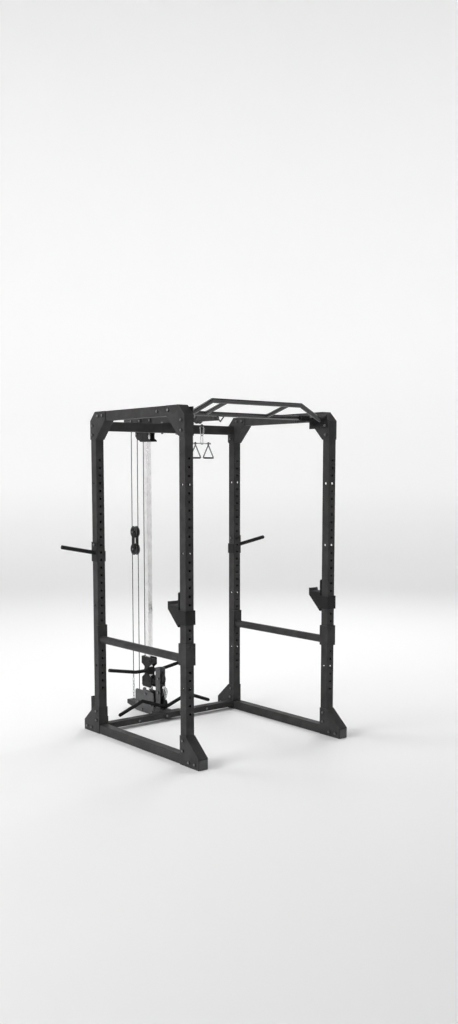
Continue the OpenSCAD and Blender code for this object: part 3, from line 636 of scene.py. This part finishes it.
LOW_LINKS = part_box("low_carabiner")
BAR_HINGE = joint_at("row_bar_swivel")
ROW_BALL = Vector((0, LOW_LINKS[1].y - 0.012, ROW_END.z))
piece("row_stop_ball", lambda bm: ball(bm, ROW_BALL, 0.012, axis=Y), "stop_white")
ROW_HOOK = Vector((0, BAR_HINGE.y, ROW_END.z - 0.028))
ROW_LEAN = math.radians(-6)
ROW_HOOK_SIZE = (0.027, 0.058)
ROW_HOOK_BAR = (*ROW_HOOK_SIZE, HOOK_WIRE, ROW_LEAN)
piece("row_carabiner", lambda bm: snap_hook(bm, ROW_HOOK, *ROW_HOOK_BAR), "chrome_links")
piece("row_carabiner_gate", lambda bm: gate(bm, ROW_HOOK, *ROW_HOOK_BAR), "chrome_links")


def eye(bm, centre, radius, wire):
    tube(bm, arc(centre, Y, Z, radius, 0, 350, 35), wire, 14, closed=True)


piece("row_cable_eye", lambda bm: eye(bm, ROW_BALL - Y * 0.0155, 0.009, 0.002), "chrome_links")


def swivel_stem(bm):
    """Eye, collar and stem that the row bar turns on."""
    eye_at = Vector((0, BAR_HINGE.y, ROW_HOOK.z - 0.028))
    eye(bm, eye_at, 0.011, 0.003)
    foot = LOW_LINKS[0].z
    top = eye_at.z - 0.010
    lathe(bm, [(0, 1e-5), (0, 0.004), (top - foot - 0.006, 0.004), (top - foot - 0.005, 0.0065),
               (top - foot - 0.001, 0.0065), (top - foot, 0.005), (top - foot, 1e-5)],
          Vector((0, BAR_HINGE.y, foot)), Z, 24)


stem = piece("row_swivel_stem", swivel_stem, "chrome_links")
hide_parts("low_carabiner")

# ---------- pulley bearings and rubber stops ----------

HUB = 0.009
SHIELD = [(0, HUB), (0, 0.0150), (0.0012, 0.0150), (0.0018, 0.0142), (0.0018, 0.0138),
          (0.0009, 0.0134), (0.0009, 0.0104), (0.0018, 0.0100), (0.0018, HUB)]


def shields(bm, name):
    """Pressed covers on both faces of a pulley's bearing."""
    for s in (-1, 1):
        lathe(bm, SHIELD, wheel(name) + X * s * 0.005, X * s, 36)


for name in ("front_pulley", "rear_pulley", "drop_pulley", "block_upper_pulley",
             "block_lower_pulley", "base_rear_pulley", "base_front_pulley", "row_lower_pulley",
             "row_upper_pulley"):
    piece(f"{name}_bearing", lambda bm, n=name: shields(bm, n), "chrome_links", f"{name}_body")


def prism(bm, outline, x0, x1, rounding):
    """Outline of (y, z) points extruded across X, with rounded edges."""
    loft(bm, [[Vector((x, y, z)) for y, z in outline] for x in (x0, x1)])
    bmesh.ops.recalc_face_normals(bm, faces=bm.faces)
    bmesh.ops.bevel(bm, geom=bm.edges[:], offset=rounding, segments=2, affect="EDGES",
                    profile=0.5, clamp_overlap=True)


def hook_liner(bm, node):
    """One strip of rubber up the back plate, along the arm and up the lip."""
    low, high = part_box(node)
    centre = (low.x + high.x) / 2
    back = low.y + 0.0772
    lip_foot, lip = high.y - 0.0114, high.y - 0.0066
    floor = low.z + 0.1233
    thick, wide = 0.0035, 0.034
    top, lip_top = high.z - 0.004, high.z - 0.064
    outline = [(back, floor), (lip_foot, floor), (lip, lip_top), (lip - thick, lip_top),
               (lip_foot - thick, floor + thick), (back + thick, floor + thick),
               (back + thick, top), (back, top)]
    prism(bm, outline, centre - wide, centre + wide, 0.0009)


for side in ("left", "right"):
    piece(f"hook_liner_{side}", lambda bm, n=f"j_hook_{side}": hook_liner(bm, n), "grip_rubber",
          f"{side}_hook")


def post_bumper(bm):
    """Square rubber stop round the foot of the guide post, between the base plates."""
    low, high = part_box("guide_post")
    centre = (low + high) / 2
    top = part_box("base_pulley_bracket")[1].z - 0.004
    inner, outer = (high.x - low.x) / 2 + 0.0004, (high.x - low.x) / 2 + 0.0105
    foot, chamfer = top - 0.016, 0.002
    profile = ((inner, foot), (outer, foot), (outer, top - chamfer), (outer - chamfer, top),
               (inner, top))
    corners = ((-1, -1), (1, -1), (1, 1), (-1, 1))
    loft(bm, [[Vector((centre.x + sx * r, centre.y + sy * r, z)) for sx, sy in corners]
              for r, z in profile], closed=True)


piece("post_bumper", post_bumper, "grip_rubber", smooth=30)

# ---------- weld beads ----------


def bead(bm, path, size):
    """Rippled fillet of weld along a closed path."""
    total = sum((b - a).length for a, b in zip(path, path[1:] + path[:1]))
    count = max(24, int(total / 0.0011))
    lengths, points = [0.0], list(path) + [path[0]]
    for a, b in zip(points, points[1:]):
        lengths.append(lengths[-1] + (b - a).length)
    even = []
    k = 0
    for i in range(count):
        at = total * i / count
        while lengths[k + 1] < at:
            k += 1
        span_length = max(lengths[k + 1] - lengths[k], 1e-9)
        even.append(points[k].lerp(points[k + 1], (at - lengths[k]) / span_length))

    def ripple(t):
        return size * (0.86 + 0.14 * math.sin(2 * math.pi * t * count / 4))

    tube(bm, even, ripple, 8, closed=True)


def round_bead(bm, centre, direction, radius, normal, size=0.0024):
    """Weld where a round bar of that direction meets a plane through centre."""
    d = direction.normalized()
    ring = ring_at(centre, d, radius, 72)
    bead(bm, [p - d * ((p - centre).dot(normal) / d.dot(normal)) for p in ring], size)


FRONT_BAR, REAR_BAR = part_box("pull_up_front_bar"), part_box("pull_up_rear_bar")
GRIP_R = 0.015
RUNG_X = 0.247
FLANGE = 0.006
REAR_GRIP = Vector((0, -0.241 + CAGE_Y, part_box("top_beam_left")[1].z - 0.030))
FRONT_GRIP = Vector((0, -0.450 + CAGE_Y, FRONT_BAR[1].z - GRIP_R))
RUNG = FRONT_GRIP - REAR_GRIP


def pull_up_welds(bm):
    """Welds at the ends of the rear grip and of the two cross grips."""
    inset, drop, bead_r = Y * (GRIP_R - 0.0004), Z * 0.004, 0.002
    for s in (-1, 1):
        round_bead(bm, REAR_GRIP + X * s * (REAR_BAR[1].x - FLANGE), X, GRIP_R, X)
        for end in (REAR_GRIP - inset + drop, FRONT_GRIP + inset - drop):
            round_bead(bm, end + X * s * RUNG_X, RUNG, GRIP_R - bead_r, RUNG.normalized(), bead_r)


piece("pull_up_welds", pull_up_welds, "gloss_black", smooth=60)


def safety_welds(bm, node):
    """Welds where a safety bar meets its two collars."""
    low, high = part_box(node)
    centre = (low.x + high.x) / 2
    axis_z = low.z + 0.034
    for y in (low.y + 0.0755, high.y - 0.0315):
        round_bead(bm, Vector((centre, y, axis_z)), Y, 0.025, Y, 0.0026)


for side in ("left", "right"):
    piece(f"safety_welds_{side}", lambda bm, n=f"safety_bar_{side}": safety_welds(bm, n),
          "charcoal_powder", f"{side}_safety", smooth=60)


def horn_welds(bm):
    """Welds where the slanted plate horns leave their brackets."""
    root_x, root_y, root_z = 0.609, 0.485 + CAGE_Y, 1.207
    run, rise, horn_r = 0.241, 0.046, 0.013
    for s in (-1, 1):
        root = Vector((s * root_x, root_y, root_z))
        round_bead(bm, root, Vector((s * run, 0, rise)), horn_r, X, 0.0024)


piece("horn_welds", horn_welds, "black_powder", smooth=60)


def arm_welds(bm):
    """Welds round each loading arm and round the disc at its root."""
    post_y, arm_z = middle("guide_post").y, 0.310
    for s in (-1, 1):
        for out, radius, bead_r in ((0.0335, 0.0125, 0.0026), (0.0265, 0.0238, 0.0016)):
            round_bead(bm, Vector((s * out, post_y, arm_z)), X, radius, X, bead_r)


piece("arm_welds", arm_welds, "black_powder", "carriage", smooth=60)

# ---------- camera, light and floor ----------

EYE = Vector((-4.079, -5.231 + CAGE_Y, 1.722))
TILT, TURN = math.radians(84.01), math.radians(-38.84)
LENS, SENSOR, SHIFT = 35.68, 36, 0.0664
camera_data = bpy.data.cameras.new("camera")
camera_data.lens = LENS
camera_data.sensor_width = SENSOR
camera_data.shift_y = SHIFT
camera = bpy.data.objects.new("camera", camera_data)
camera.location = EYE
camera.rotation_euler = (TILT, 0, TURN)
bpy.context.scene.collection.objects.link(camera)
bpy.context.scene.camera = camera


def stage_material(name, colour, rough, floor_glow, wall_glow):
    """Matte paper with a painted glow: emission, not lamps, none on the floor and rising to a little more on the
    wall.
    """
    mat, tree, shader = material(name)
    shader.inputs["Base Color"].default_value = (*colour, 1)
    shader.inputs["Roughness"].default_value = rough
    shader.inputs["Specular IOR Level"].default_value = 0.25
    shader.inputs["Emission Color"].default_value = (1, 1, 1, 1)
    coords = tree.nodes.new("ShaderNodeTexCoord")
    split = tree.nodes.new("ShaderNodeSeparateXYZ")
    link(tree, coords, "Object", split, "Vector")
    # painted light: the paper glows by itself, from floor_glow at the floor up to wall_glow from 1.5 m up
    glow = span(tree, split, "Z", 0.0, 1.5, floor_glow, wall_glow)
    link(tree, glow, "Result", shader, "Emission Strength")
    return mat


def area_light(name, place, target, size, power):
    """Rectangular light at a place, aimed at a target."""
    data = bpy.data.lights.new(name, "AREA")
    data.shape = "RECTANGLE"
    data.size, data.size_y = size
    data.energy = power
    obj = bpy.data.objects.new(name, data)
    obj.location = place
    obj.rotation_euler = (Vector(target) - Vector(place)).to_track_quat("-Z", "Y").to_euler()
    bpy.context.scene.collection.objects.link(obj)
    return obj


def backdrop():
    """Round studio: a level floor that sweeps up into a pale wall on every side."""
    floor_r, bend, high, sides = 8.5, 4.0, 14.0, 96
    line = [(0.001, 0.0), (3.0, 0.0), (floor_r, 0.0)]
    line += [(floor_r + bend * math.sin(t), bend - bend * math.cos(t))
             for t in (math.radians(6 * i) for i in range(1, 16))]
    line.append((floor_r + bend, high))
    mesh = bpy.data.meshes.new("studio")
    bm = bmesh.new()
    around = [2 * math.pi * i / sides for i in range(sides)]
    rows = [[bm.verts.new((r * math.cos(a), r * math.sin(a), h)) for a in around]
            for r, h in line]
    for low, high_row in zip(rows, rows[1:]):
        for i in range(sides):
            j = (i + 1) % sides
            bm.faces.new((low[i], low[j], high_row[j], high_row[i]))
    bm.to_mesh(mesh)
    bm.free()
    mesh.shade_smooth()
    obj = bpy.data.objects.new("studio", mesh)
    bpy.context.scene.collection.objects.link(obj)
    mesh.materials.append(stage_material("studio_paper", (0.86, 0.86, 0.86), 0.7, 0.0, 0.21))


backdrop()
area_light("key", (-7.5, 0.5, 4.5), (0, 0, 1.0), (4, 4), 370)
top = area_light("top", (4.5, 2.0, 6.5), (0, 0, 0), (3, 3), 195)
top.visible_glossy = False
area_light("wall", (-1.0, 2.0, 9.0), (5.5, 7.0, 2.0), (6, 3), 350)
strip = area_light("strip", (-4.6, -7.6, 3.4), (0, 0, 2.1), (6, 0.25), 70)
strip.visible_diffuse = False
world = bpy.data.worlds.new("world")
world.use_nodes = True
sky = world.node_tree.nodes["Background"]
sky.inputs["Color"].default_value = (1, 1, 1, 1)
sky.inputs["Strength"].default_value = 0.07
bpy.context.scene.world = world
bpy.context.scene.view_settings.view_transform = "Standard"
